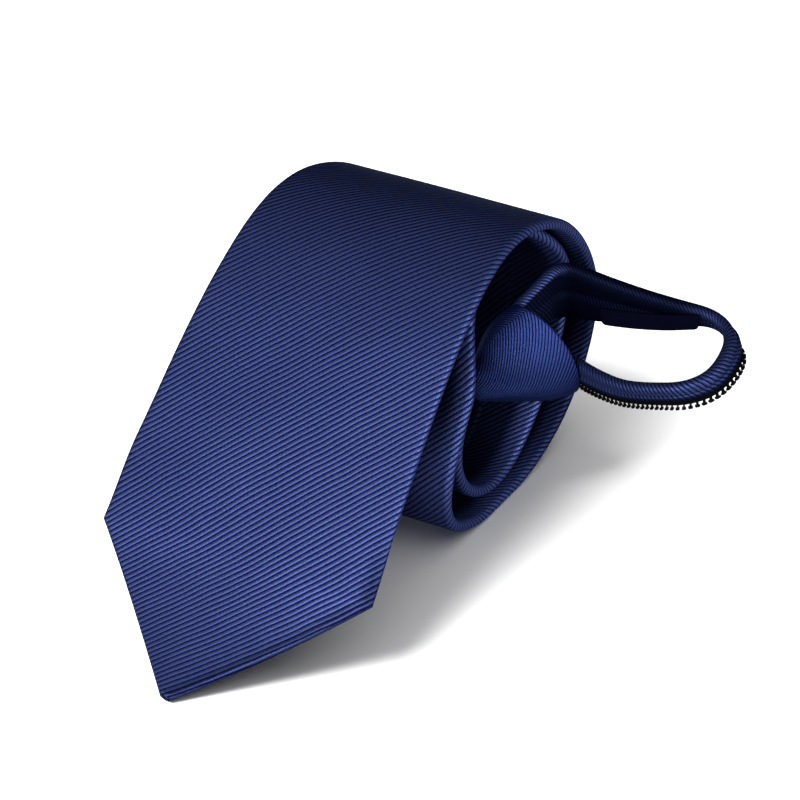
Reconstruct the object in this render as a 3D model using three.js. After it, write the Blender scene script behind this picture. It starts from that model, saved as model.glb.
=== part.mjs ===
import * as THREE from "three";

// A ready-tied zipper tie in navy ribbed cloth, rolled up from its knot and laid on a table.
// X runs along the roll's axis, Y from the tip to the back of the roll, Z is up, in millimetres.

// Blade: the long strip from the tip to the knot.
const bladeLength = 554; // along the cloth
const bladeWidth = 80; // across the two corners
const tipLength = 40; // from the corners to the point
const mouthWidth = 27; // where the blade goes into the knot
const bladeThickness = 3.2;
const tipRadius = 1.6; // half the width of the blunt point
const sideCreep = 16; // how far the roll's centre has crept to the right at its core
const creepStart = 0.28; // share of the blade's length that lies straight
const tipRise = 17; // degrees above the table at the point
const restPress = 0.7; // how deep the roll's underside is pressed flat on the table

// Each fold of the roll: its share of the blade's length and its turn in degrees, up is positive.
const rollFolds = [
  { share: 0.072, turn: 27 }, // the point, curving up off the table
  { share: 0.112, turn: -1 }, // the long front slope
  { share: 0.037, turn: -10 },
  { share: 0.075, turn: -51 }, // over the top
  { share: 0.066, turn: -38 },
  { share: 0.078, turn: -75 }, // down the outer back
  { share: 0.044, turn: -30 },
  { share: 0.052, turn: -24 }, // under the roll
  { share: 0.03, turn: -21 },
  { share: 0.031, turn: -73 }, // the outer turn at the front
  { share: 0.028, turn: -25 },
  { share: 0.078, turn: -1 }, // the second front slope
  { share: 0.03, turn: -68 }, // the second top
  { share: 0.04, turn: -37 },
  { share: 0.037, turn: -55 }, // down the inner back
  { share: 0.076, turn: -36 },
  { share: 0.026, turn: -40 },
  { share: 0.047, turn: -64 }, // the inner turn
  { share: 0.028, turn: -55 },
  { share: 0.013, turn: -5 }, // up to the knot
];

// Knot: a soft wrap at the blade's end, its collar side pulled to the right and rolled over.
const knotReach = 22; // from the blade's end to the rim's middle, to the right
const knotRise = 19.5; // the same, on along the blade
const knotSink = 11; // the same, in towards the roll's core
const knotThickness = 16;
const mouthThickness = 9;
const rimWidth = 32;
const rimYaw = 25; // degrees that the rim's axis turns to the right
const rimPitch = 25; // degrees that it turns in towards the core
const rimRoll = 49; // degrees that the rim is rolled over about its axis
const rimBulge = 2.5; // how far the rim's middle stands out
const rimWall = 1.8;
const rimDepth = 8;
const creaseHeight = 1.2; // the diagonal fold across the knot's front

// Sections of the knot from the blade to the rim, as shares of the sizes above.
const knotSections = [
  { move: 0, turn: 0, width: 0, thick: 0 },
  { move: 0.08, turn: 0.08, width: 0.4, thick: 0.45 },
  { move: 0.32, turn: 0.32, width: 1, thick: 0.85 },
  { move: 0.6, turn: 0.62, width: 1.2, thick: 1 },
  { move: 0.85, turn: 0.87, width: 1.1, thick: 1 },
  { move: 1, turn: 1, width: 1, thick: 0.9 },
];

// Neck strap: a folded band that stands on edge, out of the rim's far side and back into its near side.
const strapLength = 139;
const strapHeight = 10; // where it is deepest, on the far strand
const strapThickness = 3.4;
const strapDrop = 21; // how much lower the near strand runs than the far one
const strapInset = 5; // how far the strap starts inside the rim
const strapMargin = 6.5; // from the rim's upper corner to the strap's top edge

// Where the strap starts, and then its stretches: share of its length, turn to the left in degrees,
// and at the stretch's end the lean of its lower edge out of the loop in degrees, the share of the
// drop and the share of the height.
const strapFirst = { lean: 0, drop: 0.4, height: 0.5 };
const strapBends = [
  { share: 0.142, turn: 0, lean: 0, drop: 0, height: 1.2 },
  { share: 0.057, turn: -92, lean: 0, drop: 0.02, height: 1.5 },
  { share: 0.26, turn: 14, lean: 5, drop: 0.21, height: 0.6 },
  { share: 0.094, turn: -90, lean: 25, drop: 0.45, height: 0.6 },
  { share: 0.052, turn: -15, lean: 15, drop: 0.6, height: 0.6 },
  { share: 0.09, turn: -80, lean: 0, drop: 0.8, height: 0.52 },
  { share: 0.222, turn: -34, lean: 0, drop: 0.91, height: 0.74 },
  { share: 0.047, turn: 88, lean: 0, drop: 0.9, height: 0.6 },
  { share: 0.036, turn: 0, lean: 0, drop: 1.02, height: 0.5 },
];

// Zip: the black tape held in the slot along the strap's lower edge, and its teeth.
const tapeHeight = 3.3;
const tapeThickness = 0.8;
const tapeShow = 1.3; // how far it stands below the strap
const tapeStart = 0.49; // share of the strap's length where the zip begins
const tapeEnd = 0.9;
const toothPitch = 1.4;
const toothWidth = 0.8;
const toothLength = 1.4;
const toothThickness = 1.3;
const spineHeight = 0.6; // the cord that the teeth are moulded on

// Back tab: the cover over the zip's end, inside the far strand.
const tabLength = 27;
const tabHeight = 5;
const tabThickness = 0.9;
const tabShow = 1.2; // how far it hangs below the strap
const tabEnd = 0.458; // share of the strap's length where it ends

const clearance = 0.3; // between pieces that touch
const rad = THREE.MathUtils.degToRad;
const mix = THREE.MathUtils.lerp;

const clothPaint = { color: 0x1b2a66, roughness: 0.6, metalness: 0 };
const strapPaint = { color: 0x17265c, roughness: 0.65, metalness: 0 };
const tapePaint = { color: 0x0a0a0e, roughness: 0.85, metalness: 0 };
const toothPaint = { color: 0x08080a, roughness: 0.4, metalness: 0 };

// The point at place t of a chain of arcs, each with a length and a turn, from a start and heading.
function chainAt(chain, t, start) {
  let { u, v, heading } = start;
  let left = t;
  for (const { length, turn } of chain) {
    const step = Math.min(left, length);
    const bend = (turn * step) / length;
    const sinc = Math.abs(bend) < 1e-9 ? 1 : Math.sin(bend / 2) / (bend / 2);
    u += step * sinc * Math.cos(heading + bend / 2);
    v += step * sinc * Math.sin(heading + bend / 2);
    heading += bend;
    left -= step;
    if (left <= 0) break;
  }
  return { t, u, v, heading };
}

// Places along a chain, closer together where it bends, from one end to the other or between two.
function chainPlaces(chain, longest, degrees, from = 0, to = Infinity) {
  const places = [];
  let start = 0;
  for (const { length, turn } of chain) {
    const count = Math.ceil(Math.max(length / longest, Math.abs(turn) / rad(degrees)));
    for (let i = 0; i < count; i++) places.push(start + (length * i) / count);
    start += length;
  }
  places.push(start);
  const end = Math.min(to, start);
  return [from, ...places.filter((t) => t > from + 0.5 && t < end - 0.5), end];
}

// A closed solid through rings of equal point counts, with a flat fan over each end, or the cover
// that the ends' outlines give where a fan would leave the section.
function ringSolid(rings, outlines) {
  const count = rings[0].length;
  const points = rings.flat();
  const faces = [];
  for (let i = 0; i + 1 < rings.length; i++) {
    for (let k = 0; k < count; k++) {
      const a = i * count + k;
      const b = i * count + ((k + 1) % count);
      faces.push(a, b, b + count, a, b + count, a + count);
    }
  }
  const ends = [
    { ring: 0, flip: true },
    { ring: rings.length - 1, flip: false },
  ];
  for (const { ring, flip } of ends) {
    if (outlines) {
      const corners = outlines[ring].map(([x, y]) => new THREE.Vector2(x, y));
      for (const cover of THREE.ShapeUtils.triangulateShape(corners, [])) {
        const [a, b, c] = cover.map((k) => ring * count + k);
        if (flip) faces.push(b, a, c);
        else faces.push(a, b, c);
      }
      continue;
    }
    const middle = new THREE.Vector3();
    rings[ring].forEach((p) => middle.addScaledVector(p, 1 / count));
    points.push(middle);
    for (let k = 0; k < count; k++) {
      const a = ring * count + k;
      const b = ring * count + ((k + 1) % count);
      if (flip) faces.push(b, a, points.length - 1);
      else faces.push(a, b, points.length - 1);
    }
  }
  const solid = new THREE.BufferGeometry();
  solid.setAttribute("position", new THREE.Float32BufferAttribute(points.flatMap((p) => p.toArray()), 3));
  solid.setIndex(faces);
  solid.computeVertexNormals();
  return solid;
}

// A flat bar's outline with round ends, as [across, up] pairs, anticlockwise.
function barOutline(width, height, steps) {
  const radius = height / 2;
  const points = [];
  for (const side of [1, -1]) {
    for (let i = 0; i <= steps; i++) {
      const angle = Math.PI * (i / steps - 0.5);
      points.push([side * (width / 2 - radius + radius * Math.cos(angle)), side * radius * Math.sin(angle)]);
    }
  }
  return points;
}

// The roll, turned about its point until its underside presses into the table by restPress.
const foldChain = rollFolds.map(({ share, turn }) => ({ length: share * bladeLength, turn: rad(turn) }));
const bladeEnd = foldChain.reduce((sum, { length }) => sum + length, 0);
const halfThick = bladeThickness / 2;

function rollStart(rise) {
  return { u: 0, v: halfThick, heading: rise };
}

function settledRise() {
  let rise = rad(tipRise);
  const places = chainPlaces(foldChain, 4, 5, 0.35 * bladeEnd, 0.75 * bladeEnd);
  for (let pass = 0; pass < 4; pass++) {
    const low = places.map((t) => chainAt(foldChain, t, rollStart(rise))).reduce((a, b) => (b.v < a.v ? b : a));
    rise -= Math.atan2(low.v - halfThick + restPress, low.u);
  }
  return rise;
}

const bladeStart = rollStart(settledRise());

function bladeAt(t) {
  const { u, v, heading } = chainAt(foldChain, t, bladeStart);
  const lain = v < halfThick;
  const slope = lain ? Math.PI * Math.round(heading / Math.PI) : heading;
  const creep = (sideCreep * Math.max(0, t / bladeEnd - creepStart)) / (1 - creepStart);
  const taper = (t - tipLength) / (bladeEnd - tipLength);
  const width = t < tipLength ? mix(2 * tipRadius, bladeWidth, t / tipLength) : mix(bladeWidth, mouthWidth, taper);
  const place = new THREE.Vector3(creep, u, lain ? halfThick : v);
  const along = new THREE.Vector3(0, Math.cos(slope), Math.sin(slope));
  const up = new THREE.Vector3(0, -Math.sin(slope), Math.cos(slope));
  return { place, along, up, width };
}

function blade() {
  const places = [0, 0.15 * tipLength, ...chainPlaces(foldChain, 14, 7, 0.3 * tipLength), tipLength];
  places.sort((a, b) => a - b);
  const rings = places.map((t) => {
    const { place, up, width } = bladeAt(t);
    return barOutline(width, bladeThickness, 4).map(([across, lift]) => {
      return new THREE.Vector3(place.x - across, place.y, place.z).addScaledVector(up, lift);
    });
  });
  return ringSolid(rings);
}

// The knot's own frame: right along the roll, on along the blade, and out to the blade's front.
const bladeTop = bladeAt(bladeEnd);
const right = new THREE.Vector3(1, 0, 0);
const onward = bladeTop.along;
const outward = bladeTop.up;
const knotBase = bladeTop.place.clone().addScaledVector(onward, clearance);
knotBase.addScaledVector(outward, halfThick - mouthThickness / 2 - 1);

function knotFrame(row, inset, depth) {
  const yaw = rad(rimYaw * row.turn);
  const pitch = rad(rimPitch * row.turn);
  const roll = rad(rimRoll * row.turn);
  const level = right.clone().multiplyScalar(Math.cos(yaw)).addScaledVector(onward, -Math.sin(yaw));
  const forward = right.clone().multiplyScalar(Math.sin(yaw)).addScaledVector(onward, Math.cos(yaw));
  forward.multiplyScalar(Math.cos(pitch)).addScaledVector(outward, -Math.sin(pitch));
  const upright = level.clone().cross(forward);
  const across = level.clone().multiplyScalar(Math.cos(roll)).addScaledVector(upright, -Math.sin(roll));
  const front = level.clone().multiplyScalar(Math.sin(roll)).addScaledVector(upright, Math.cos(roll));
  const middle = knotBase.clone().addScaledVector(right, row.move * knotReach);
  middle.addScaledVector(onward, row.move * knotRise).addScaledVector(outward, -row.move * knotSink);
  middle.addScaledVector(forward, -depth);
  const wide = mix(mouthWidth, rimWidth, row.width) - 2 * inset;
  const thick = mix(mouthThickness, knotThickness, row.thick) - 2 * inset;
  return { middle, across, forward, front, wide, thick };
}

// One ring of the knot: a soft oblong, with the diagonal crease raised across its front.
function knotRing(row, share, inset = 0, depth = 0) {
  const { middle, across, forward, front, wide, thick } = knotFrame(row, inset, depth);
  const crease = mix(0.8, -0.85, share);
  const points = [];
  const count = 32;
  for (let k = 0; k < count; k++) {
    const angle = (-2 * Math.PI * k) / count;
    const soft = (value) => Math.sign(value) * Math.pow(Math.abs(value), 0.75);
    const side = soft(Math.cos(angle));
    const lift = soft(Math.sin(angle));
    const ridge = inset > 0 || lift < 0 ? 0 : creaseHeight * Math.exp(-Math.pow((side - crease) / 0.3, 2)) * lift;
    const bulge = rimBulge * row.turn * (1 - side * side);
    const point = middle.clone().addScaledVector(across, (side * wide) / 2);
    point.addScaledVector(front, (lift * thick) / 2 + ridge * Math.sin(Math.PI * Math.min(1, share + 0.15)));
    points.push(point.addScaledVector(forward, bulge));
  }
  return points;
}

function knotRowAt(share) {
  const place = share * (knotSections.length - 1);
  const i = Math.min(Math.floor(place), knotSections.length - 2);
  const row = {};
  for (const key of Object.keys(knotSections[0])) row[key] = mix(knotSections[i][key], knotSections[i + 1][key], place - i);
  return row;
}

function knot() {
  const rings = [];
  const count = 15;
  for (let i = 0; i <= count; i++) rings.push(knotRing(knotRowAt(i / count), i / count));
  const lip = knotRowAt(1);
  rings.push(knotRing(lip, 1, rimWall * 0.3, -rimWall * 0.3));
  rings.push(knotRing(lip, 1, rimWall, 0));
  rings.push(knotRing(lip, 1, rimWall, rimDepth));
  return ringSolid(rings);
}

// The strap's route in plan, from inside the rim's upper corner.
const strapChain = strapBends.map(({ share, turn }) => ({ length: share * strapLength, turn: rad(turn) }));
const rim = knotFrame(knotRowAt(1), 0, 0);
const rimCorner = rim.middle.clone().addScaledVector(rim.across, strapMargin - rimWidth / 2);
const strapStart = { u: rimCorner.x, v: rimCorner.y - strapInset, heading: rad(90) };
const strapTop = rimCorner.z + strapFirst.drop * strapDrop;

function strapAt(t) {
  const { u, v, heading } = chainAt(strapChain, t, strapStart);
  let share = t / strapLength;
  let before = strapFirst;
  for (const bend of strapBends) {
    if (share <= bend.share + 1e-9) {
      const part = share / bend.share;
      const lean = rad(mix(before.lean, bend.lean, part));
      const drop = strapDrop * mix(before.drop, bend.drop, part);
      const height = strapHeight * mix(before.height, bend.height, part);
      const away = new THREE.Vector3(-Math.sin(heading), Math.cos(heading), 0);
      const down = away.clone().multiplyScalar(Math.sin(lean)).add(new THREE.Vector3(0, 0, -Math.cos(lean)));
      const out = away.clone().multiplyScalar(Math.cos(lean)).add(new THREE.Vector3(0, 0, Math.sin(lean)));
      return { top: new THREE.Vector3(u, v, strapTop - drop), down, out, height };
    }
    share -= bend.share;
    before = bend;
  }
  return strapAt(strapLength - 1e-6);
}

// The folded band's section, as [down, out] pairs from its top edge, anticlockwise: round at the fold,
// with a slot for the tape between its two lower edges.
const tapeSlot = { depth: tapeHeight - tapeShow + clearance, half: tapeThickness / 2 + clearance };

function foldOutline(height) {
  const half = strapThickness / 2;
  const points = [
    [height, -half],
    [height, -tapeSlot.half],
    [height - tapeSlot.depth, -tapeSlot.half],
    [height - tapeSlot.depth, tapeSlot.half],
    [height, tapeSlot.half],
    [height, half],
  ];
  for (let i = 0; i <= 6; i++) {
    const angle = (Math.PI * i) / 6;
    points.push([half - half * Math.sin(angle), half * Math.cos(angle)]);
  }
  return points;
}

// A solid along the strap, with the section that outlineAt gives for the strap's height at each place.
function strapBand(from, to, outlineAt) {
  const places = chainPlaces(strapChain, 6, 9, from * strapLength, to * strapLength).map((t) => strapAt(t));
  const outlines = places.map(({ height }) => outlineAt(height));
  const rings = places.map(({ top, down, out }, i) => {
    return outlines[i].map(([low, away]) => top.clone().addScaledVector(down, low).addScaledVector(out, away));
  });
  return ringSolid(rings, outlines);
}

// A leaf's section that reaches low under the strap's lower edge, away outwards from its middle.
function leafOutline(height, low, away, thickness, strapEdge) {
  return barOutline(height, thickness, 2).map(([x, y]) => [strapEdge + low - height / 2 + x, away + y]);
}

function strap() {
  return strapBand(0, 1, foldOutline);
}

function tape() {
  return strapBand(tapeStart, tapeEnd, (edge) => leafOutline(tapeHeight, tapeShow, 0, tapeThickness, edge));
}

function tab() {
  const away = -(strapThickness / 2 + clearance + tabThickness / 2);
  const tabStart = tabEnd - tabLength / strapLength;
  return strapBand(tabStart, tabEnd, (edge) => leafOutline(tabHeight, tabShow, away, tabThickness, edge));
}

// The teeth as one comb: a thin spine under the tape's edge, deeper at each tooth.
function teeth() {
  const first = tapeStart * strapLength + toothPitch;
  const count = Math.floor(((tapeEnd - tapeStart) * strapLength - 2 * toothPitch) / toothPitch);
  const rings = [];
  const ring = (t, reach, thickness) => {
    const { top, down, out, height } = strapAt(t);
    const spineTop = height + tapeShow + clearance;
    const corners = [
      [reach, -0.5],
      [reach, 0.5],
      [0, 0.5],
      [0, -0.5],
    ];
    rings.push(
      corners.map(([low, side]) => {
        return top.clone().addScaledVector(down, spineTop + low).addScaledVector(out, side * thickness);
      }),
    );
  };
  for (let i = 0; i < count; i++) {
    const t = first + i * toothPitch;
    const half = toothWidth / 2;
    const edge = 0.06;
    ring(t - half - edge, spineHeight, tapeThickness);
    ring(t - half, toothLength, toothThickness);
    ring(t + half, toothLength, toothThickness);
    ring(t + half + edge, spineHeight, tapeThickness);
  }
  return ringSolid(rings);
}

const tie = new THREE.Group();

function add(name, solid, paint) {
  const mesh = new THREE.Mesh(solid, new THREE.MeshStandardMaterial(paint));
  mesh.name = name;
  tie.add(mesh);
}

add("blade", blade(), clothPaint);
add("knot", knot(), clothPaint);
add("neck_strap", strap(), strapPaint);
add("zipper_tape", tape(), tapePaint);
add("zipper_teeth", teeth(), toothPaint);
add("back_tab", tab(), strapPaint);

// The origin is on the table under the middle of the whole.
const box = new THREE.Box3().setFromObject(tie);
const middle = box.getCenter(new THREE.Vector3());
for (const mesh of tie.children) mesh.position.set(-middle.x, -middle.y, -box.min.z);

export default tie;
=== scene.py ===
import bpy
import numpy as np
from mathutils import Matrix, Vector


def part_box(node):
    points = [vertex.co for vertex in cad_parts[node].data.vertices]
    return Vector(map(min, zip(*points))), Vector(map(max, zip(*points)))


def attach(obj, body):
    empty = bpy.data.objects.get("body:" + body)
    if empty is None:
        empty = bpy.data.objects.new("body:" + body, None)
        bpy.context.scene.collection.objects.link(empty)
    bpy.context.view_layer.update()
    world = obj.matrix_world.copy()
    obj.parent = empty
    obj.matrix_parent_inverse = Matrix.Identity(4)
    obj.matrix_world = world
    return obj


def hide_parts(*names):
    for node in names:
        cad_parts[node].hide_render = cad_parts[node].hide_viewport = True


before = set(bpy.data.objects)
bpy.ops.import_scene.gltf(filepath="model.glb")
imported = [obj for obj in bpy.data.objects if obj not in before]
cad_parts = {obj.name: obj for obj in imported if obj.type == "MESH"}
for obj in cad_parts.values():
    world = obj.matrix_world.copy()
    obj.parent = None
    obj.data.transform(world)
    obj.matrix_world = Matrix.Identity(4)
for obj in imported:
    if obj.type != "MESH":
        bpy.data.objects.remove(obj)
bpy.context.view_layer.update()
mm = 0.001


def mix(a, b, t):
    return a + (b - a) * t


def smooth(low, high, value):
    # An S-curve from 0 at low to 1 at high.
    t = np.clip((value - low) / (high - low), 0, 1)
    return t * t * (3 - 2 * t)


def riseAndFall(rise, fall, value):
    # From 0 up to 1 over the span rise, and back to 0 over the span fall.
    return smooth(*rise, value) * (1 - smooth(*fall, value))


def soften(values, width):
    # A running average over width samples, made twice, with the ends held.
    kernel = np.ones(width) / width
    for _ in range(2):
        padded = np.pad(values, width // 2, mode="edge")
        values = np.convolve(padded, kernel, "valid")[: len(values)]
    return values


def easedTable(t, values, width):
    # A table's values at even stops from 0 to 1, joined by lines, softened and read at t.
    grid = np.linspace(0, 1, 201)
    joined = np.interp(grid, np.linspace(0, 1, len(values)), values)
    return np.interp(t, grid, soften(joined, width))


def bendingPath(length, bends, step, softness):
    # Each stretch spreads its turn evenly over its share of the length. The heading is the running sum
    # of the softened bends, and the route is the running sum of steps along that heading.
    shares = np.array([share for share, turn in bends])
    turns = np.radians([turn for share, turn in bends])
    s = np.linspace(0, length * shares.sum(), int(length * shares.sum() / step) + 1)
    stride = s[1] - s[0]
    stretch = np.searchsorted(np.cumsum(shares) * length, s[:-1] + stride / 2).clip(0, len(bends) - 1)
    bend = soften(turns[stretch] / (shares[stretch] * length), 2 * int(softness / stride / 2) + 1) * stride
    heading = np.concatenate([[0], np.cumsum(bend)])
    middle = (heading[1:] + heading[:-1]) / 2
    u = np.concatenate([[0], np.cumsum(np.cos(middle)) * stride])
    v = np.concatenate([[0], np.cumsum(np.sin(middle)) * stride])
    return s, u, v, heading


def ringCloth(points, along):
    # The cloth's own measures on a surface made of rings: the distance round each ring from its first
    # point, and the distance along.
    steps = np.linalg.norm(np.diff(np.concatenate([points, points[:, :1]], 1), axis=1), axis=2)
    girth = np.concatenate([np.zeros((len(points), 1)), np.cumsum(steps, 1)], 1)
    return girth, np.repeat(along[:, None], girth.shape[1], 1)


def ribPlace(girth, along):
    # The cloth is cut on the bias: its measures turned 45 degrees, so that x runs across the ribs and y
    # along them.
    return np.stack([(girth - along) / np.sqrt(2), (girth + along) / np.sqrt(2)], -1)


def ringMesh(name, points, place):
    # A skin of quads over rings of points, each ring closed, with a flat face over each end. Where the
    # volume inside comes out negative, the faces are turned round.
    rows, columns = points.shape[:2]
    row, column = np.arange(rows - 1)[:, None], np.arange(columns)[None]
    a = (row * columns + column).ravel()
    b = (row * columns + (column + 1) % columns).ravel()
    quads = np.stack([a, b, b + columns, a + columns], 1)
    c = (row * (columns + 1) + column).ravel()
    corners = np.stack([c, c + 1, c + columns + 2, c + columns + 1], 1)
    first = np.arange(columns)
    last = first + (rows - 1) * columns
    faces = quads.tolist() + [first[::-1].tolist(), last.tolist()]
    faceCorners = np.concatenate([corners.ravel(), first[::-1], first + (rows - 1) * (columns + 1)])
    flat = points.reshape(-1, 3)
    p, q, r, s = [flat[quads[:, k]] for k in range(4)]
    volume = (p * np.cross(q, r)).sum() + (p * np.cross(r, s)).sum()
    mesh = bpy.data.meshes.new(name)
    mesh.from_pydata(flat.tolist(), [], faces)
    layer = mesh.uv_layers.new(name="cloth")
    layer.data.foreach_set("uv", place.reshape(-1, 2)[faceCorners].astype(np.float32).ravel())
    if volume < 0:
        mesh.flip_normals()
    mesh.shade_smooth()
    mesh.validate()
    piece = bpy.data.objects.new(name, mesh)
    bpy.context.scene.collection.objects.link(piece)
    return piece


def addShade(piece, shade):
    # How much of the cloth's own colour each point shows; the rest is painted shade, a darker colour put in place of
    # shadow.
    layer = piece.data.attributes.new("shade", "FLOAT", "POINT")
    layer.data.foreach_set("value", shade.ravel().astype(np.float32))


def setPiece(piece, material, node):
    piece.data.materials.append(material)
    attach(piece, "root")
    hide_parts(node)
    return piece


# Materials

def addNode(tree, kind, values=None, **settings):
    # A node with its settings, and its inputs given by name or number as a value or a linked socket.
    node = tree.nodes.new(kind)
    for key, value in settings.items():
        setattr(node, key, value)
    for key, value in (values or {}).items():
        if isinstance(value, bpy.types.NodeSocket):
            tree.links.new(value, node.inputs[key])
        else:
            node.inputs[key].default_value = value
    return node


def calc(tree, operation, *values):
    node = addNode(tree, "ShaderNodeMath", dict(enumerate(values)), operation=operation)
    return node.outputs[0]


def blendColour(tree, share, a, b):
    values = {"Factor": share, "A": a, "B": b}
    node = tree.nodes.new("ShaderNodeMix")
    node.data_type = "RGBA"
    for key, value in values.items():
        socket = [s for s in node.inputs if s.name == key and (key == "Factor" or s.type == "RGBA")][0]
        if isinstance(value, bpy.types.NodeSocket):
            tree.links.new(value, socket)
        else:
            socket.default_value = value
    return [s for s in node.outputs if s.type == "RGBA"][0]


weaveLook = {
    # How far the ribs wander and fray, in pitches, and the scale of each noise.
    "drift": 0.5,
    "driftScale": 90,
    "fray": 0.22,
    "frayScale": 1500,
    # Below 1 the ribs are full and the grooves between them narrow.
    "fullness": 0.6,
    # Threads in one pitch along the ribs and across them.
    "threadsAlong": 3.3,
    "threadsAcross": 1.2,
    # The relief of threads and fray as shares of the depth.
    "threadHeight": 0.14,
    "frayHeight": 0.5,
    # The rib's height where the groove's painted shade ends and where the rib's colour is full.
    "grooveTop": 0.15,
    "ribTop": 0.8,
    # How much clouds, threads and fray change the tone.
    "cloud": 0.35,
    "cloudScale": 45,
    "threadTone": 0.18,
    "threadDark": 0.86,
    "frayTone": 0.7,
    "ribRoughness": 0.44,
    "grooveRoughness": 0.25,
}


def ribbedWeaveGroup(look):
    # Rounded ribs a pitch apart, each wound from fine slanting threads. Place is the cloth's own place in
    # metres, across the ribs and along them. A rib's height is (0.5 + 0.5 cos(2 pi across)) ^ fullness.
    group = bpy.data.node_groups.new("ribbedWeave", "ShaderNodeTree")
    sockets = group.interface
    for name, kind, value in [
        ("Place", "NodeSocketVector", (0, 0, 0)),
        ("Pitch", "NodeSocketFloat", 1.3 * mm),
        ("Depth", "NodeSocketFloat", 0.3 * mm),
        ("Rib Colour", "NodeSocketColor", (0.1, 0.1, 0.3, 1)),
        ("Groove Painted Shade", "NodeSocketColor", (0, 0, 0.1, 1)),
    ]:
        sockets.new_socket(name=name, in_out="INPUT", socket_type=kind).default_value = value
    sockets.new_socket(name="Colour", in_out="OUTPUT", socket_type="NodeSocketColor")
    sockets.new_socket(name="Height", in_out="OUTPUT", socket_type="NodeSocketFloat")
    sockets.new_socket(name="Roughness", in_out="OUTPUT", socket_type="NodeSocketFloat")
    ins = group.nodes.new("NodeGroupInput").outputs
    outs = group.nodes.new("NodeGroupOutput").inputs
    parts = addNode(group, "ShaderNodeSeparateXYZ", {0: ins["Place"]}).outputs
    across = calc(group, "DIVIDE", parts["X"], ins["Pitch"])
    along = calc(group, "DIVIDE", parts["Y"], ins["Pitch"])
    drift = addNode(group, "ShaderNodeTexNoise", {"Vector": ins["Place"], "Scale": look["driftScale"], "Detail": 1})
    drift = calc(group, "MULTIPLY", calc(group, "SUBTRACT", drift.outputs[0], 0.5), look["drift"])
    fray = addNode(group, "ShaderNodeTexNoise", {"Vector": ins["Place"], "Scale": look["frayScale"], "Detail": 2})
    fray = calc(group, "SUBTRACT", fray.outputs[0], 0.5)
    phase = calc(group, "ADD", calc(group, "ADD", across, drift), calc(group, "MULTIPLY", fray, look["fray"]))
    wave = calc(group, "COSINE", calc(group, "MULTIPLY", phase, 2 * np.pi))
    hump = calc(group, "POWER", calc(group, "MULTIPLY_ADD", wave, 0.5, 0.5), look["fullness"])
    turns = calc(group, "MULTIPLY", along, look["threadsAlong"])
    slant = calc(group, "ADD", turns, calc(group, "MULTIPLY", across, look["threadsAcross"]))
    thread = calc(group, "COSINE", calc(group, "MULTIPLY", slant, 2 * np.pi))
    thread = calc(group, "MULTIPLY_ADD", thread, 0.5, 0.5)
    height = calc(group, "MULTIPLY", calc(group, "MULTIPLY_ADD", thread, look["threadHeight"], hump), ins["Depth"])
    fuzz = calc(group, "MULTIPLY", calc(group, "MULTIPLY", fray, ins["Depth"]), look["frayHeight"])
    height = calc(group, "ADD", height, fuzz)
    group.links.new(height, outs["Height"])
    ridge = addNode(group, "ShaderNodeMapRange", {0: hump, 1: look["grooveTop"], 2: look["ribTop"], 3: 0, 4: 1})
    cloudy = addNode(group, "ShaderNodeTexNoise", {"Vector": ins["Place"], "Scale": look["cloudScale"], "Detail": 2})
    tone = calc(group, "MULTIPLY_ADD", calc(group, "SUBTRACT", cloudy.outputs[0], 0.5), look["cloud"], 1)
    threadTone = calc(group, "MULTIPLY_ADD", thread, look["threadTone"], look["threadDark"])
    tone = calc(group, "MULTIPLY", tone, threadTone)
    tone = calc(group, "MULTIPLY", tone, calc(group, "MULTIPLY_ADD", fray, look["frayTone"], 1))
    share = calc(group, "MULTIPLY", ridge.outputs[0], tone)
    # Painted shade: the grooves take a far darker colour than the ribs.
    group.links.new(blendColour(group, share, ins["Groove Painted Shade"], ins["Rib Colour"]), outs["Colour"])
    groove = calc(group, "SUBTRACT", 1.0, ridge.outputs[0])
    rough = calc(group, "MULTIPLY_ADD", groove, look["grooveRoughness"], look["ribRoughness"])
    group.links.new(rough, outs["Roughness"])
    return group


def ribbedCloth(name, weave, look):
    # Satin ribs from the weave group, darkened towards the painted shade's dark colour where the shade
    # attribute is low.
    material = bpy.data.materials.new(name)
    material.use_nodes = True
    tree = material.node_tree
    shader = tree.nodes["Principled BSDF"]
    place = addNode(tree, "ShaderNodeUVMap", uv_map="cloth").outputs[0]
    cloth = addNode(tree, "ShaderNodeGroup", node_tree=weave)
    tree.links.new(place, cloth.inputs["Place"])
    cloth.inputs["Pitch"].default_value = look["pitch"]
    cloth.inputs["Depth"].default_value = look["depth"]
    cloth.inputs["Rib Colour"].default_value = (*look["rib"], 1)
    cloth.inputs["Groove Painted Shade"].default_value = (*look["groove"], 1)
    bump = addNode(tree, "ShaderNodeBump", {"Strength": 1.0, "Distance": 1.0, "Height": cloth.outputs["Height"]})
    colour = cloth.outputs["Colour"]
    shade = addNode(tree, "ShaderNodeAttribute", attribute_name="shade").outputs["Fac"]
    colour = blendColour(tree, shade, (*look["paintedShade"], 1), colour)
    tree.links.new(colour, shader.inputs["Base Color"])
    tree.links.new(cloth.outputs["Roughness"], shader.inputs["Roughness"])
    tree.links.new(bump.outputs[0], shader.inputs["Normal"])
    shader.inputs["Specular IOR Level"].default_value = look["gloss"]
    shader.inputs["Specular Tint"].default_value = (*look["glossTint"], 1)
    shader.inputs["Metallic"].default_value = look["satin"]
    return material


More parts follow.
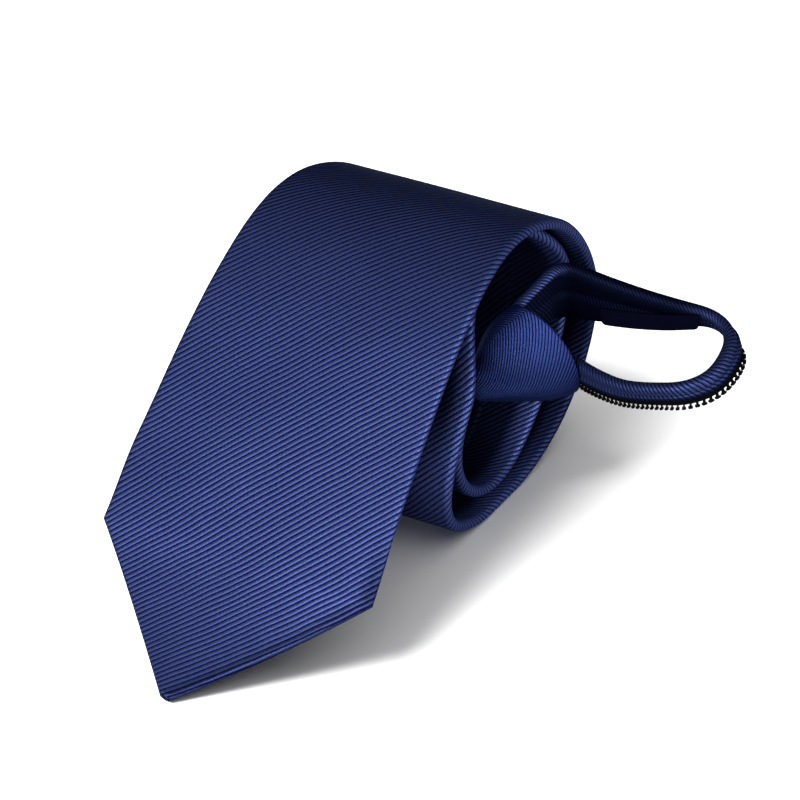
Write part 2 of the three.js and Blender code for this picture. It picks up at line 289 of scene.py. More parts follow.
def plainMaterial(name, look):
    # A plain fine surface: one colour with slight cloudiness, and a fine grain in its relief.
    material = bpy.data.materials.new(name)
    material.use_nodes = True
    tree = material.node_tree
    shader = tree.nodes["Principled BSDF"]
    place = addNode(tree, "ShaderNodeTexCoord").outputs["Object"]
    cloudy = addNode(tree, "ShaderNodeTexNoise", {"Vector": place, "Scale": look["cloud"], "Detail": 3})
    grain = addNode(tree, "ShaderNodeTexNoise", {"Vector": place, "Scale": look["grain"], "Detail": 2})
    colour = blendColour(tree, cloudy.outputs[0], (*look["dark"], 1), (*look["light"], 1))
    height = calc(tree, "MULTIPLY", grain.outputs[0], look["relief"])
    bump = addNode(tree, "ShaderNodeBump", {"Strength": 1.0, "Distance": 1.0, "Height": height})
    tree.links.new(colour, shader.inputs["Base Color"])
    tree.links.new(bump.outputs[0], shader.inputs["Normal"])
    shader.inputs["Roughness"].default_value = look["roughness"]
    shader.inputs["Specular IOR Level"].default_value = look["gloss"]
    return material


clothLook = {
    "pitch": 1.36 * mm,
    "depth": 0.13 * mm,
    "rib": (0.053, 0.073, 0.212),
    # The grooves' colour is far darker than the ribs', as painted shade in the grooves.
    "groove": (0.0005, 0.0028, 0.034),
    "satin": 0.7,
    "gloss": 0.05,
    "glossTint": (0.5, 0.6, 1.0),
    # The dark colour of the painted shade, which stands in for shadow where the shade attribute is low.
    "paintedShade": (0.0003, 0.0006, 0.004),
}
knotClothLook = {
    **clothLook,
    "pitch": 1.06 * mm,
    "depth": 0.16 * mm,
    # The knot's rib colour is darker than the blade's, as painted shade.
    "rib": (0.022, 0.037, 0.138),
}
strapClothLook = {
    **clothLook,
    "pitch": 0.9 * mm,
    "depth": 0.11 * mm,
}
tapeLook = {
    "dark": (0.0003, 0.0003, 0.0005),
    "light": (0.0012, 0.0012, 0.0018),
    "cloud": 900,
    "grain": 2600,
    "relief": 0.12 * mm,
    "roughness": 0.9,
    "gloss": 0.03,
}
toothLook = {**tapeLook, "relief": 0.02 * mm, "roughness": 0.6, "gloss": 0.04}
tabLook = {
    "dark": (0.0003, 0.0005, 0.003),
    "light": (0.0006, 0.001, 0.006),
    "cloud": 300,
    "grain": 2200,
    "relief": 0.05 * mm,
    "roughness": 0.9,
    "gloss": 0.02,
}
ribbedWeave = ribbedWeaveGroup(weaveLook)
clothMaterial = ribbedCloth("ribbedNavy", ribbedWeave, clothLook)
knotMaterial = ribbedCloth("ribbedNavyKnotPaintedShade", ribbedWeave, knotClothLook)
strapMaterial = ribbedCloth("ribbedNavyStrap", ribbedWeave, strapClothLook)
tapeMaterial = plainMaterial("blackTape", tapeLook)
toothMaterial = plainMaterial("blackTeeth", toothLook)
tabMaterial = plainMaterial("navyFacing", tabLook)
print("materials made")

# The blade: a folded, padded strip, rolled up from the knot

bladeLook = {
    "length": 554 * mm,
    "width": 80 * mm,
    "tipLength": 40 * mm,
    "mouthWidth": 27 * mm,
    "thickness": 3.2 * mm,
    "tipWidth": 3.2 * mm,
    "sideCreep": 16 * mm,
    "creepStart": 0.28,
    "tipRise": 17,
    # The underside lies between these shares of the length, and lands on the table within this height.
    "underside": (0.35, 0.75),
    "restPress": 0.7 * mm,
    "landing": 0.1 * mm,
    "pathStep": 0.25 * mm,
    "pathSoftness": 5 * mm,
    # The strip's thickness grows from the point's to its own over this length.
    "tipThickness": 1.9 * mm,
    "thicken": 90 * mm,
    # The front and back swell in the middle, and the overlap on the back ends at this share of the half
    # width.
    "crown": 0.5 * mm,
    "overlap": 0.5 * mm,
    "overlapEdge": 0.1,
    "seamSlant": 0.01,
    # Slow waves along the edges and across the face, where the cloth is loose.
    "waver": 0.35 * mm,
    "waverLength": 17 * mm,
    "waverStart": (60 * mm, 100 * mm),
    "ripple": 0.12 * mm,
    "rippleLength": 9 * mm,
    "rippleAcross": 5,
    "tight": 0.25,
    "looseStart": (0, 30 * mm),
    "looseEnd": (170 * mm, 140 * mm),
    # The front slope bulges to the left. The second turn stands out to the right where it is outset, and
    # back to the left where it slips. The spans are metres or shares of the length.
    "bulge": 1.2 * mm,
    "bulgeWidth": 1 * mm,
    "bulgeRise": (38 * mm, 64 * mm),
    "bulgeFall": (190 * mm, 250 * mm),
    "slip": 6.5 * mm,
    "slipRise": (0.64, 0.69),
    "slipFall": (0.73, 0.79),
    "outset": 1.5 * mm,
    "outsetRise": (0.25, 0.31),
    "outsetFall": (0.38, 0.44),
    # The roll's depths are dark with painted shade: its strength there, and how far in from the right edge
    # it is reached on the back and on the front. The spans say where along the length each side is covered.
    "deepShade": 0.12,
    "deepStart": 0.5 * mm,
    "deepEnd": 5.5 * mm,
    "faceReach": 5 * mm,
    "frontCovered": (0.6, 0.64),
    "backCovered": (0.25, 0.3),
    # Painted shade makes the hollow at the foot of the outer turn darker, from the face round its edge.
    "hollowShade": 0.25,
    "hollowRise": (0.35, 0.4),
    "hollowFall": (0.45, 0.52),
    "hollowLift": (0.7, -0.1),
    # Near the point the turned right edge is darkened with painted shade.
    "edgeShade": 0.4,
    "edgeReach": 3.5 * mm,
    "edgeEnd": (42 * mm, 60 * mm),
    # Rows along the point's first tenth, the rest of the point and the length. Columns from the overlap
    # to the left edge, round an edge, over the front, and from the right edge to the overlap.
    "rows": (5, 24, 340),
    "columns": (24, 13, 46, 20),
    # Each fold's share of the length and its turn in degrees, from the point to the knot.
    "folds": [
        (0.072, 22),
        (0.112, -1),
        (0.037, -10),
        (0.075, -51),
        (0.066, -38),
        (0.078, -75),
        (0.044, -30),
        (0.052, -24),
        (0.03, -21),
        (0.031, -73),
        (0.028, -25),
        (0.078, -1),
        (0.03, -68),
        (0.04, -37),
        (0.037, -55),
        (0.076, -36),
        (0.026, -40),
        (0.047, -64),
        (0.028, -55),
        (0.013, -5),
    ],
}


def layBlade(look):
    # The roll's side view: the folded path, turned about its point until its underside presses into the
    # table, and laid flat where it would go below.
    s, u, v, heading = bendingPath(look["length"], look["folds"], look["pathStep"], look["pathSoftness"])
    half = look["thickness"] / 2
    rise = np.radians(look["tipRise"])
    under = (s > look["underside"][0] * s[-1]) & (s < look["underside"][1] * s[-1])
    for _ in range(4):
        low = np.argmin(np.where(under, u * np.sin(rise) + v * np.cos(rise), 1))
        reach = u[low] * np.cos(rise) - v[low] * np.sin(rise)
        depth = u[low] * np.sin(rise) + v[low] * np.cos(rise)
        rise -= np.arctan2(depth + look["restPress"], reach)
    y = u * np.cos(rise) - v * np.sin(rise)
    z = u * np.sin(rise) + v * np.cos(rise)
    z = half + (z + np.sqrt(z * z + look["landing"] ** 2)) / 2
    heading = np.unwrap(np.arctan2(np.gradient(z), np.gradient(y)))
    return {"s": s, "y": y, "z": z, "heading": heading, "half": half}


bladePath = layBlade(bladeLook)
bladeLow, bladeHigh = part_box("blade")
tipX = bladeLow.x + bladeLook["width"] / 2
tipY = bladeHigh.y - (bladePath["y"] + bladePath["half"] * np.abs(np.sin(bladePath["heading"]))).max()


def bladeFrame(s, look, path):
    # At each length: the middle of the strip, its up and onward directions, and its width.
    end = path["s"][-1]
    heading = np.interp(s, path["s"], path["heading"])
    creep = look["sideCreep"] * np.clip(s / end - look["creepStart"], 0, 1) / (1 - look["creepStart"])
    creep = creep - look["slip"] * riseAndFall(look["slipRise"], look["slipFall"], s / end)
    creep = creep + look["outset"] * riseAndFall(look["outsetRise"], look["outsetFall"], s / end)
    waver = look["waver"] * np.sin(s / look["waverLength"]) * smooth(*look["waverStart"], s)
    bulge = riseAndFall(look["bulgeRise"], look["bulgeFall"], s)
    middle = np.stack([
        tipX + creep + waver - look["bulge"] * bulge,
        tipY + np.interp(s, path["s"], path["y"]),
        np.interp(s, path["s"], path["z"]),
    ], -1)
    up = np.stack([0 * s, -np.sin(heading), np.cos(heading)], -1)
    onward = np.stack([0 * s, np.cos(heading), np.sin(heading)], -1)
    beyond = (s - look["tipLength"]) / (end - look["tipLength"])
    width = np.where(
        s < look["tipLength"],
        mix(look["tipWidth"], look["width"], s / look["tipLength"]),
        mix(look["width"], look["mouthWidth"], beyond) + look["bulgeWidth"] * bulge,
    )
    return middle, up, onward, width


def bladePoints(look, path):
    # A ring round the strip at each length: the back from its overlap to the left edge, the round left
    # edge, the front, the round right edge and the rest of the back. The front and back swell a little
    # in the middle, less where the roll is wound tight.
    end = path["s"][-1]
    tip = look["tipLength"]
    first, point, length = look["rows"]
    s = np.concatenate([
        np.linspace(0, 0.1 * tip, first)[:-1],
        np.linspace(0.1 * tip, tip, point)[:-1],
        np.linspace(tip, end, length),
    ])
    middle, up, _, width = bladeFrame(s, look, path)
    left, edge, face, right = look["columns"]
    turn = np.radians(np.linspace(-90, 90, edge + 2))[1:-1]
    seam = look["overlapEdge"]
    lapped = np.linspace(seam, -1, left)
    flat = np.concatenate([lapped, -np.ones(edge), np.linspace(-1, 1, face),
                           np.ones(edge), np.linspace(1, seam + look["seamSlant"], right)])
    curve = np.concatenate([np.zeros(left), -np.cos(turn), np.zeros(face), np.cos(turn), np.zeros(right)])
    lift = np.concatenate([-np.ones(left), np.sin(turn), np.ones(face), -np.sin(turn), -np.ones(right)])
    over = np.concatenate([smooth(-0.5, seam, lapped), np.zeros(len(flat) - left)])
    # Over the point the strip's edges run diagonally, so a round edge reaches further in x.
    diagonal = np.where(s < tip, np.sqrt(2), 1)
    half = mix(look["tipThickness"], look["thickness"], smooth(0, look["thicken"], s)) / 2
    roundEdge = np.minimum(half * diagonal, width / 2 * 0.98)
    loose = mix(look["tight"], 1, smooth(*look["looseEnd"], s)) * smooth(*look["looseStart"], s)
    x = flat[None] * (width / 2 - roundEdge)[:, None] + curve[None] * roundEdge[:, None]
    swell = (1 - flat**2) * lift * look["crown"]
    rise = lift[None] * half[:, None] + loose[:, None] * (swell - over * look["overlap"])[None]
    ripple = look["ripple"] * np.sin(s / look["rippleLength"])[:, None] * loose[:, None]
    ripple = ripple * np.cos(flat * look["rippleAcross"] + 1)[None]
    points = middle[:, None] + up[:, None] * (rise + ripple)[..., None]
    points[..., 0] += x
    girth, along = ringCloth(points, s)
    centre = left + edge + face // 2
    weave = ribPlace(girth - girth[:, centre : centre + 1], along)
    return points, weave, bladeShading(s[:, None], flat[None], lift[None], width - 2 * roundEdge, look, end)


def bladeShading(s, flat, lift, flatWidth, look, end):
    # Painted shade in the cloth's colour: dark deep in the roll, in the hollow at its foot, and along the point's
    # edge.
    inward = (1 - flat) * flatWidth[:, None] / 2
    back = lift < 0
    covered = np.where(back, smooth(*look["backCovered"], s / end), smooth(*look["frontCovered"], s / end))
    deep = np.where(back, smooth(look["deepStart"], look["deepEnd"], inward), smooth(0, look["faceReach"], inward))
    hollow = riseAndFall(look["hollowRise"], look["hollowFall"], s / end) * smooth(*look["hollowLift"], lift)
    turned = (1 - smooth(0, look["edgeReach"], inward)) * (1 - smooth(*look["edgeEnd"], s))
    shade = mix(1, look["deepShade"], covered * deep)
    return shade * mix(1, look["hollowShade"], hollow) * mix(1, look["edgeShade"], turned)


bladeShape, bladeWeave, bladeShade = bladePoints(bladeLook, bladePath)
bladePiece = ringMesh("bladeCloth", bladeShape, bladeWeave)
addShade(bladePiece, bladeShade)
setPiece(bladePiece, clothMaterial, "blade")
print("blade made")

# The knot: a wrapped fold that twists from the blade's end to its open rim

knotLook = {
    "reach": 22 * mm,
    "rise": 19.5 * mm,
    "sink": 11 * mm,
    "thickness": 16 * mm,
    "mouthThickness": 9 * mm,
    "mouthWidth": 27 * mm,
    "mouthSink": 1 * mm,
    "gap": 0.3 * mm,
    "rimWidth": 32 * mm,
    "rimYaw": 25,
    "rimPitch": 25,
    "rimRoll": 49,
    "rimBulge": 2.5 * mm,
    "rimWall": 1.6 * mm,
    "pocketEnd": 0.7,
    "ringPoints": 160,
    "squareness": 0.8,
    # Sections from the blade to the rim: how far each has moved, turned, widened and thickened.
    "move": (0, 0.08, 0.32, 0.6, 0.85, 1),
    "turn": (0, 0.08, 0.32, 0.62, 0.87, 1),
    "wide": (0, 0.4, 1, 1.2, 1.1, 1),
    "thick": (0, 0.45, 0.85, 1, 1, 0.9),
    # How much of the width the diagonal fold takes off at the left, at each tenth of the way.
    "fold": (0, 0.12, 0.25, 0.38, 0.42, 0.38, 0.28, 0.18, 0.11, 0.08, 0.06),
    # The directions across the ribs and along them, as shares of the ways over the front and on to the
    # rim.
    "acrossRibs": (0.51, 0.74),
    "alongRibs": (0.75, -0.63),
    # The ribs' lean, how fast it grows, and how they crowd and fan out, up to these limits in
    # millimetres. At the crease they are mirrored.
    "ribLean": 0.15,
    "ribBow": 0.02,
    "bowLimit": 20,
    "ribFan": 0.015,
    "fanLimit": 16,
    "ribCrowd": 1.3,
    "crease": -14,
    # The painted shade at the hem, and between which places along the ribs it fades in, in millimetres.
    "hemShade": 0.5,
    "hemStart": -6,
    "hemEnd": 14,
}


def knotFrames(t, look, inset, depth):
    # At each share t of the way to the rim: the section's middle, its directions and its two sizes.
    middle, up, onward, _ = bladeFrame(bladePath["s"][-1:], bladeLook, bladePath)
    right, up, onward = np.array([1.0, 0, 0]), up[0], onward[0]
    base = middle[0] + onward * look["gap"]
    base = base + up * (bladeLook["thickness"] / 2 - look["mouthThickness"] / 2 - look["mouthSink"])
    move, turn, wide, thick = [easedTable(t, look[key], 21) for key in ("move", "turn", "wide", "thick")]
    yaw, pitch, roll = [np.radians(look[key]) * turn for key in ("rimYaw", "rimPitch", "rimRoll")]
    cos = lambda angle: np.cos(angle)[:, None]
    sin = lambda angle: np.sin(angle)[:, None]
    level = right * cos(yaw) - onward * sin(yaw)
    forward = (right * sin(yaw) + onward * cos(yaw)) * cos(pitch) - up * sin(pitch)
    upright = np.cross(level, forward)
    across = level * cos(roll) - upright * sin(roll)
    front = level * sin(roll) + upright * cos(roll)
    place = base + right * (move * look["reach"])[:, None] + onward * (move * look["rise"])[:, None]
    place = place - up * (move * look["sink"])[:, None] - forward * depth
    wide = mix(look["mouthWidth"], look["rimWidth"], wide) - 2 * inset
    thick = mix(look["mouthThickness"], look["thickness"], thick) - 2 * inset
    return place, across, forward, front, wide, thick, turn


def rimFrame(look):
    # The middle of the rim and its directions: across it, out of it, and up from its front.
    return [value[0] for value in knotFrames(np.array([1.0]), look, 0, 0)][:4]


def knotRings(t, look, inset=0.0, depth=0.0):
    # Soft oblong rings: the angle's cosine and sine, each to the power squareness with its sign kept.
    place, across, forward, front, wide, thick, turn = knotFrames(t, look, inset, depth)
    angle = -2 * np.pi * np.arange(look["ringPoints"]) / look["ringPoints"]
    soft = lambda value: np.sign(value) * np.abs(value) ** look["squareness"]
    side, lift = soft(np.cos(angle)), soft(np.sin(angle))
    bulge = look["rimBulge"] * turn[:, None] * (1 - side * side)[None]
    fold = easedTable(t, look["fold"], 15)[:, None]
    shifted = side[None] * (1 - fold) + fold
    points = place[:, None] + across[:, None] * (shifted * wide[:, None] / 2)[..., None]
    points = points + front[:, None] * (lift[None] * thick[:, None] / 2)[..., None]
    return points + forward[:, None] * bulge[..., None]


def knotPoints(look):
    # The outside from the blade to the rim, over its rolled lip, and the pocket inside.
    wall = look["rimWall"]
    outside = knotRings(np.linspace(0, 1, 90), look)
    last = np.array([1.0])
    lip = [knotRings(last, look, wall / 2 * (1 - np.cos(a)), -wall / 2 * np.sin(a))
           for a in np.radians([30, 60, 90, 120, 150])]
    inside = knotRings(np.linspace(1, look["pocketEnd"], 10), look, wall)
    return np.concatenate([outside, *lip, inside])


def knotCloth(points, look):
    # Over the front, in millimetres from the rim's middle: sideways runs across the ribs and down along
    # them. Each rib leans and bows by lean * down + bow * down^2, and the ribs fan out towards the rim.
    place, across, forward, _ = rimFrame(look)
    girth = ringCloth(points, np.zeros(len(points)))[0]
    centre = 3 * points.shape[1] // 4
    away = points[:, centre] - place
    over = ((away @ across)[:, None] + girth - girth[:, centre : centre + 1]) / mm
    over = look["crease"] + np.abs(over - look["crease"])
    on = (points - place) @ forward / mm
    on = np.concatenate([on, on[:, :1]], 1)
    sideways, down = [look[key][0] * over + look[key][1] * on for key in ("acrossRibs", "alongRibs")]
    sideways = sideways * (look["ribCrowd"] - look["ribFan"] * sideways.clip(-look["fanLimit"], look["fanLimit"]))
    bowed = down.clip(-look["bowLimit"], look["bowLimit"]) ** 2
    ribs = sideways + look["ribLean"] * down + look["ribBow"] * bowed
    # Painted shade darkens the cloth towards the knot's hem.
    shade = mix(1, look["hemShade"], smooth(look["hemStart"], look["hemEnd"], down[:, :-1]))
    return np.stack([ribs, down], -1) * mm, shade


knotShape = knotPoints(knotLook)
knotWeave, knotShade = knotCloth(knotShape, knotLook)
knotPiece = ringMesh("knotCloth", knotShape, knotWeave)
addShade(knotPiece, knotShade)
setPiece(knotPiece, knotMaterial, "knot")
print("knot made")

# The neck strap, its zip and its tab

strapLook = {
    "length": 139 * mm,
    "height": 10 * mm,
    "thickness": 3.4 * mm,
    "drop": 21 * mm,
    "inset": 5 * mm,
    "margin": 6.5 * mm,
    "slotDepth": 2.3 * mm,
    "slotHalf": 0.7 * mm,
    "tuck": 2.5 * mm,
    "tuckBack": 3 * mm,
    "tuckLength": 22 * mm,
    "bends": [
        (0.142, 0),
        (0.057, -92),
        (0.26, 14),
        (0.094, -90),
        (0.052, -15),
        (0.09, -80),
        (0.222, -34),
        (0.047, 88),
        (0.036, 0),
    ],
    # At these shares of the length: the lean in degrees, the fall as a share of the drop, and the height.
    "places": (0, 0.144, 0.2, 0.25, 0.33, 0.4, 0.47, 0.505, 0.553, 0.605, 0.695, 0.8, 0.92, 0.964, 1),
    "lean": (0, 0, 0, 0, 1, 3, 10, 30, 48, 30, 6, 0, 0, 0, 0),
    "fall": (0.4, 0, 0.01, 0.05, 0.11, 0.16, 0.215, 0.29, 0.41, 0.53, 0.73, 0.92, 0.95, 0.93, 1.02),
    "depth": (0.8, 1.6, 1.62, 1.4, 1.14, 0.87, 0.5, 0.5, 0.58, 0.58, 0.5, 0.52, 0.6, 0.52, 0.5),
    "pathStep": 0.25 * mm,
    "pathSoftness": 3 * mm,
    # A groove and a ridge run along both sides: their depths, and their places and widths as shares of
    # the sheet. The sheet is thinner at its lower edge and under its fold.
    "groove": 0.3 * mm,
    "groovePlace": (0.42, 0.07),
    "ridge": 0.25 * mm,
    "ridgePlace": (0.6, 0.09),
    "lowerPinch": 0.35 * mm,
    "lowerSpan": (0.75, 1),
    "upperPinch": 0.15 * mm,
    "upperSpan": (0, 0.3),
    # Rows along the strap, and columns over the fold and down each side.
    "rows": 300,
    "foldColumns": 19,
    "sideColumns": 33,
    # The ribs' slant along the strap: the ways round it and along it mix by this share.
    "ribSlant": 0.7,
    # The inner side is darkened with painted shade, from these depths under the fold. By the rim, which
    # hides less of the fold, they are smaller.
    "paintedShade": 0.08,
    "paintedShadeSpan": (1.2 * mm, 4.2 * mm),
    "paintedShadeByRim": 0.35,
    "rimSpan": (12 * mm, 30 * mm),
    # Painted shade: the far strand is darkest, the near one less so, and the lower hem is dark all along.
    "farShade": 0.07,
    "farSpan": (16 * mm, 27 * mm),
    "nearShade": 0.55,
    "nearSpan": (56 * mm, 74 * mm),
    "hemShade": 0.1,
    "hemSpan": (0.7, 0.92),
}


def layStrap(look):
    # The strap's route, from inside the rim's upper corner: a bending path in plan, falling as it goes,
    # with the band's down and outward directions leaning as the table says.
    place, across, _, front = rimFrame(knotLook)
    corner = place + across * (look["margin"] - knotLook["rimWidth"] / 2)
    s, u, v, heading = bendingPath(look["length"], look["bends"], look["pathStep"], look["pathSoftness"])
    stops = np.array(look["places"]) * look["length"]
    lean, fall, depth = [soften(np.interp(s, stops, look[key]), 25) for key in ("lean", "fall", "depth")]
    lean = np.radians(lean)
    heading = heading + np.pi / 2
    top = np.stack([
        corner[0] - v,
        corner[1] - look["inset"] + u,
        corner[2] + (look["fall"][0] - fall) * look["drop"],
    ], -1)
    tuck = across * look["tuck"] + front * look["tuckBack"]
    top = top - tuck * (1 - smooth(0, look["tuckLength"], s))[:, None]
    away = np.stack([-np.sin(heading), np.cos(heading), 0 * s], -1)
    upward = np.array([0.0, 0, 1])
    down = away * np.sin(lean)[:, None] - upward * np.cos(lean)[:, None]
    out = away * np.cos(lean)[:, None] + upward * np.sin(lean)[:, None]
    return {"s": s, "top": top, "down": down, "out": out, "height": depth * look["height"]}


strapPath = layStrap(strapLook)


def strapFrame(s, path):
    at = lambda values: np.stack([np.interp(s, path["s"], values[:, k]) for k in range(3)], -1)
    return at(path["top"]), at(path["down"]), at(path["out"]), np.interp(s, path["s"], path["height"])


def alongStrap(s, path, low, away):
    # Points at low metres under the strap's top edge and away metres outwards, one row for each place.
    top, down, out = strapFrame(s, path)[:3]
    return top[:, None] + down[:, None] * low[..., None] + out[:, None] * away[..., None]


def strapPoints(look, path):
    # The folded band's section: up the inside, round the fold, down the outside, with a slot below for
    # the tape. Each side's sheet is half the thickness less a bell-shaped groove, plus a bell-shaped ridge.
    s = np.linspace(0, path["s"][-1], look["rows"])
    height = strapFrame(s, path)[3][:, None]
    half = look["thickness"] / 2
    turn = np.radians(np.linspace(0, 180, look["foldColumns"]))[None]
    crown = half - half * np.sin(turn)
    share = np.linspace(0, 1, look["sideColumns"] + 1)[None, 1:] + 0 * height
    deep = half + (height - half) * share
    groove, ridge = [look[key] * np.exp(-(((share - middle) / width) ** 2))
                     for key, (middle, width) in (("groove", look["groovePlace"]), ("ridge", look["ridgePlace"]))]
    sheet = half - groove + ridge - look["lowerPinch"] * smooth(*look["lowerSpan"], share)
    sheet = sheet - look["upperPinch"] * smooth(*look["upperSpan"], share)
    slot = look["slotHalf"] + 0 * height
    inSlot = height - look["slotDepth"]
    low = np.concatenate([deep[:, ::-1], crown + 0 * height, deep, height, inSlot, inSlot, height], 1)
    away = np.concatenate([-sheet[:, ::-1], -half * np.cos(turn) + 0 * height, sheet, slot, slot, -slot, -slot], 1)
    points = alongStrap(s, path, low, away)
    girth, along = ringCloth(points, s)
    centre = look["sideColumns"] + look["foldColumns"] // 2
    girth = girth - girth[:, centre : centre + 1]
    slant = look["ribSlant"]
    weave = np.stack([slant * girth + along, slant * along - girth], -1) / np.sqrt(1 + slant**2)
    return points, weave, strapShading(s[:, None], low, away, height, look)


def strapShading(s, low, away, height, look):
    # Painted shade in the cloth's colour: on the inner side, on the far and near strands, and at the hem.
    byRim = mix(look["paintedShadeByRim"], 1, smooth(*look["rimSpan"], s))
    inner = smooth(*look["paintedShadeSpan"], low / byRim) * (away < 0)
    strand = mix(1, look["farShade"], smooth(*look["farSpan"], s))
    strand = mix(strand, look["nearShade"], smooth(*look["nearSpan"], s))
    hem = mix(1, look["hemShade"], smooth(*look["hemSpan"], low / height))
    return mix(1, look["paintedShade"], inner) * strand * hem


strapShape, strapWeave, strapShade = strapPoints(strapLook, strapPath)
strapPiece = ringMesh("strapCloth", strapShape, strapWeave)
addShade(strapPiece, strapShade)
setPiece(strapPiece, strapMaterial, "neck_strap")
print("strap made")

zipLook = {
    "height": 3.3 * mm,
    "thickness": 0.8 * mm,
    "show": 1.5 * mm,
    "start": 0.5,
    "end": 0.925,
    "pitch": 1.4 * mm,
    "toothLength": 1.35 * mm,
    "toothThickness": 0.9 * mm,
    # Each level of a tooth, from its foot in the tape: how far down, and its width and thickness.
    "tooth": [(-0.3, 0.3, 0.7), (0.42, 0.28, 0.7), (0.5, 0.6, 1), (0.85, 0.64, 1), (1, 0.42, 0.7)],
}
tabShape = {
    "length": 27 * mm,
    "height": 5 * mm,
    "thickness": 0.9 * mm,
    "show": 0.1 * mm,
    "end": 0.458,
    "gap": 0.3 * mm,
    "corner": 1.6 * mm,
}


def leafPoints(s, path, height, low, away, thickness, corner=0.0):
    # A thin band with round edges that reaches low under the strap's lower edge. Both lower corners are
    # quarter rounds.
    edge = strapFrame(s, path)[3][:, None]
    inset = (corner - np.minimum(s - s[0], s[-1] - s)).clip(0)
    cut = (corner - np.sqrt(corner**2 - inset**2))[:, None]
    height, low = height - cut, low - cut
    turn = np.radians(np.linspace(-90, 90, 7))[None]
    half = thickness / 2
    x = height / 2 - half + half * np.cos(turn)
    y = half * np.concatenate([np.sin(turn), -np.sin(turn)], 1)
    return alongStrap(s, path, edge + low - height / 2 + np.concatenate([x, -x], 1), away + y + 0 * edge)


def makeTape(look):
    s = np.linspace(look["start"], look["end"], 160) * strapLook["length"]
    points = leafPoints(s, strapPath, look["height"], look["show"], 0, look["thickness"])
    return ringMesh("zipTape", points, ribPlace(*ringCloth(points, s)))


def makeTab(look):
    end = look["end"] * strapLook["length"]
    s = np.linspace(end - look["length"], end, 60)
    away = -(strapLook["thickness"] / 2 + look["gap"] + look["thickness"] / 2)
    points = leafPoints(s, strapPath, look["height"], look["show"], away, look["thickness"], look["corner"])
    return ringMesh("backTab", points, ribPlace(*ringCloth(points, s)))


setPiece(makeTape(zipLook), tapeMaterial, "zipper_tape")
setPiece(makeTab(tabShape), tabMaterial, "back_tab")


def toothRow(look, path):
    # Every tooth is one small block on the tape's edge: a narrow stem with a wider head, in square levels
    # of four points.
    count = int((look["end"] - look["start"]) * strapLook["length"] / look["pitch"]) - 1
    middle = look["start"] * strapLook["length"] + look["pitch"] * (1 + np.arange(count))
    rows = []
    for drop, wide, thick in look["tooth"]:
        for side, depth in [(-1, -1), (-1, 1), (1, 1), (1, -1)]:
            top, down, out, height = strapFrame(middle + side * wide * look["pitch"] / 2, path)
            low = height + look["show"] + drop * look["toothLength"]
            away = depth * thick * look["toothThickness"] / 2
            rows.append(top + down * low[:, None] + out * away)
    levels = len(look["tooth"])
    points = np.stack(rows, 1)
    quads = [[4 * i + k, 4 * i + (k + 1) % 4, 4 * i + 4 + (k + 1) % 4, 4 * i + 4 + k]
             for i in range(levels - 1) for k in range(4)]
    quads += [[3, 2, 1, 0], [4 * levels - 4 + k for k in range(4)]]
    faces = (np.array(quads)[None] + (np.arange(count) * 4 * levels)[:, None, None]).reshape(-1, 4)
    mesh = bpy.data.meshes.new("zipTeeth")
    mesh.from_pydata(points.reshape(-1, 3).tolist(), [], faces.tolist())
    piece = bpy.data.objects.new("zipTeeth", mesh)
    bpy.context.scene.collection.objects.link(piece)
    return piece


setPiece(toothRow(zipLook, strapPath), toothMaterial, "zipper_teeth")
print("zip made")

# The table, the lights and the camera

stageLook = {
    "halfTable": 3,
    "lightAim": (0, 0, 30 * mm),
    "floor": (0.95, 0.95, 0.95),
    "floorGlow": 0.02,
    "floorBounce": (0.2, 0.2, 0.21),
    "world": 0.03,
    # Each softbox: where it stands as seen from the object, how far away, its side in metres, its power,
    # and whether it is flagged to light the tie or the table.
    "softboxes": {
        "key": {"toward": (0.12, -0.88, 0.33), "distance": 0.75, "size": 0.5, "power": 13, "lights": "tie"},
        "side": {"toward": (0.97, -0.1, 0.22), "distance": 1.0, "size": 0.4, "power": 10, "lights": "tie"},
        "front": {"toward": (-0.27, -0.52, 0.8), "distance": 1.3, "size": 0.6, "power": 38, "lights": "table"},
        "dome": {"toward": (0.1, -0.1, 0.99), "distance": 1.4, "size": 2.6, "power": 26, "lights": "table"},
    },
}


def makeFloor(look):
    # The floor shines back to the camera as white paper, and throws little light up at the object.
    reach = look["halfTable"]
    mesh = bpy.data.meshes.new("table")
    mesh.from_pydata([(x * reach, y * reach, 0) for x, y in [(-1, -1), (1, -1), (1, 1), (-1, 1)]], [], [[0, 1, 2, 3]])
    floor = bpy.data.objects.new("table", mesh)
    bpy.context.scene.collection.objects.link(floor)
    material = bpy.data.materials.new("paleTable")
    material.use_nodes = True
    tree = material.node_tree
    shader = tree.nodes["Principled BSDF"]
    seen = addNode(tree, "ShaderNodeLightPath").outputs["Is Camera Ray"]
    colour = blendColour(tree, seen, (*look["floorBounce"], 1), (*look["floor"], 1))
    tree.links.new(colour, shader.inputs["Base Color"])
    tree.links.new(calc(tree, "MULTIPLY", seen, look["floorGlow"]), shader.inputs["Emission Strength"])
    shader.inputs["Roughness"].default_value = 0.9
    shader.inputs["Specular IOR Level"].default_value = 0.0
    shader.inputs["Emission Color"].default_value = (1, 1, 1, 1)
    mesh.materials.append(material)
    return floor


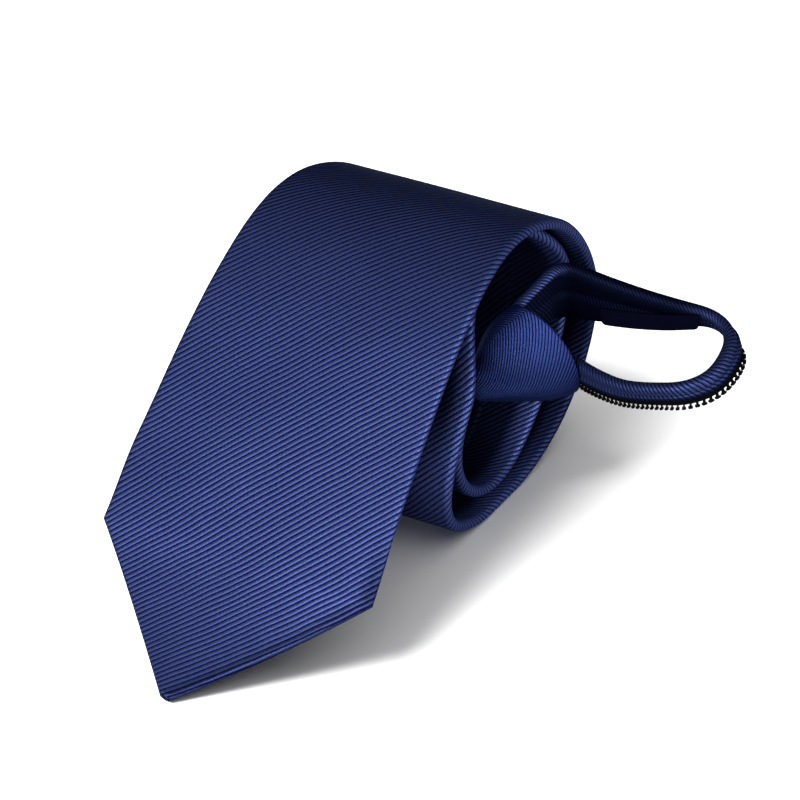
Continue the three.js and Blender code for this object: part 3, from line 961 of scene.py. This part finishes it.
def addSoftbox(name, look):
    lamp = bpy.data.lights.new(name, "AREA")
    lamp.size = look["size"]
    lamp.energy = look["power"]
    back = np.array(look["toward"]) / np.linalg.norm(look["toward"])
    side = np.cross([0, 0, 1], back)
    side /= np.linalg.norm(side)
    box = bpy.data.objects.new(name, lamp)
    box.matrix_world = Matrix(np.column_stack([side, np.cross(back, side), back]).tolist()).to_4x4()
    box.location = back * look["distance"] + np.array(stageLook["lightAim"])
    bpy.context.scene.collection.objects.link(box)
    lit = bpy.data.collections.new(name + "Lit")
    for piece in [table] if look["lights"] == "table" else tiePieces:
        lit.objects.link(piece)
    box.light_linking.receiver_collection = lit
    if look["lights"] == "table":
        # The loop stands so far off the table that its shadow is lost.
        casting = bpy.data.collections.new(name + "Shadows")
        for piece in (bladePiece, knotPiece):
            casting.objects.link(piece)
        box.light_linking.blocker_collection = casting


cameraLook = {
    "azimuth": 29.37,
    "elevation": 32,
    "distance": 0.91967,
    "aim": (-18.96 * mm, 153.0 * mm),  # on the table, from the blade's point
    "lens": 144,
}


def makeCamera(look):
    turn, tilt = np.radians([look["azimuth"], look["elevation"]])
    forward = np.array([-np.sin(turn) * np.cos(tilt), np.cos(turn) * np.cos(tilt), -np.sin(tilt)])
    side = np.array([np.cos(turn), np.sin(turn), 0])
    aim = np.array([tipX + look["aim"][0], tipY + look["aim"][1], 0])
    lens = bpy.data.cameras.new("camera")
    lens.lens = look["lens"]
    lens.sensor_width = 36
    lens.clip_start = 0.05
    camera = bpy.data.objects.new("camera", lens)
    camera.matrix_world = Matrix(np.column_stack([side, np.cross(side, forward), -forward]).tolist()).to_4x4()
    camera.location = aim - forward * look["distance"]
    bpy.context.scene.collection.objects.link(camera)
    bpy.context.scene.camera = camera


def makeWorld(look):
    world = bpy.data.worlds.new("studio")
    world.use_nodes = True
    shade = world.node_tree.nodes["Background"]
    shade.inputs["Color"].default_value = (1, 1, 1, 1)
    shade.inputs["Strength"].default_value = look["world"]
    bpy.context.scene.world = world


tiePieces = [piece for piece in bpy.context.scene.objects if piece.type == "MESH"]
table = makeFloor(stageLook)
makeWorld(stageLook)
for name, look in stageLook["softboxes"].items():
    addSoftbox(name, look)
makeCamera(cameraLook)
bpy.context.scene.view_settings.view_transform = "Standard"
print("stage made")
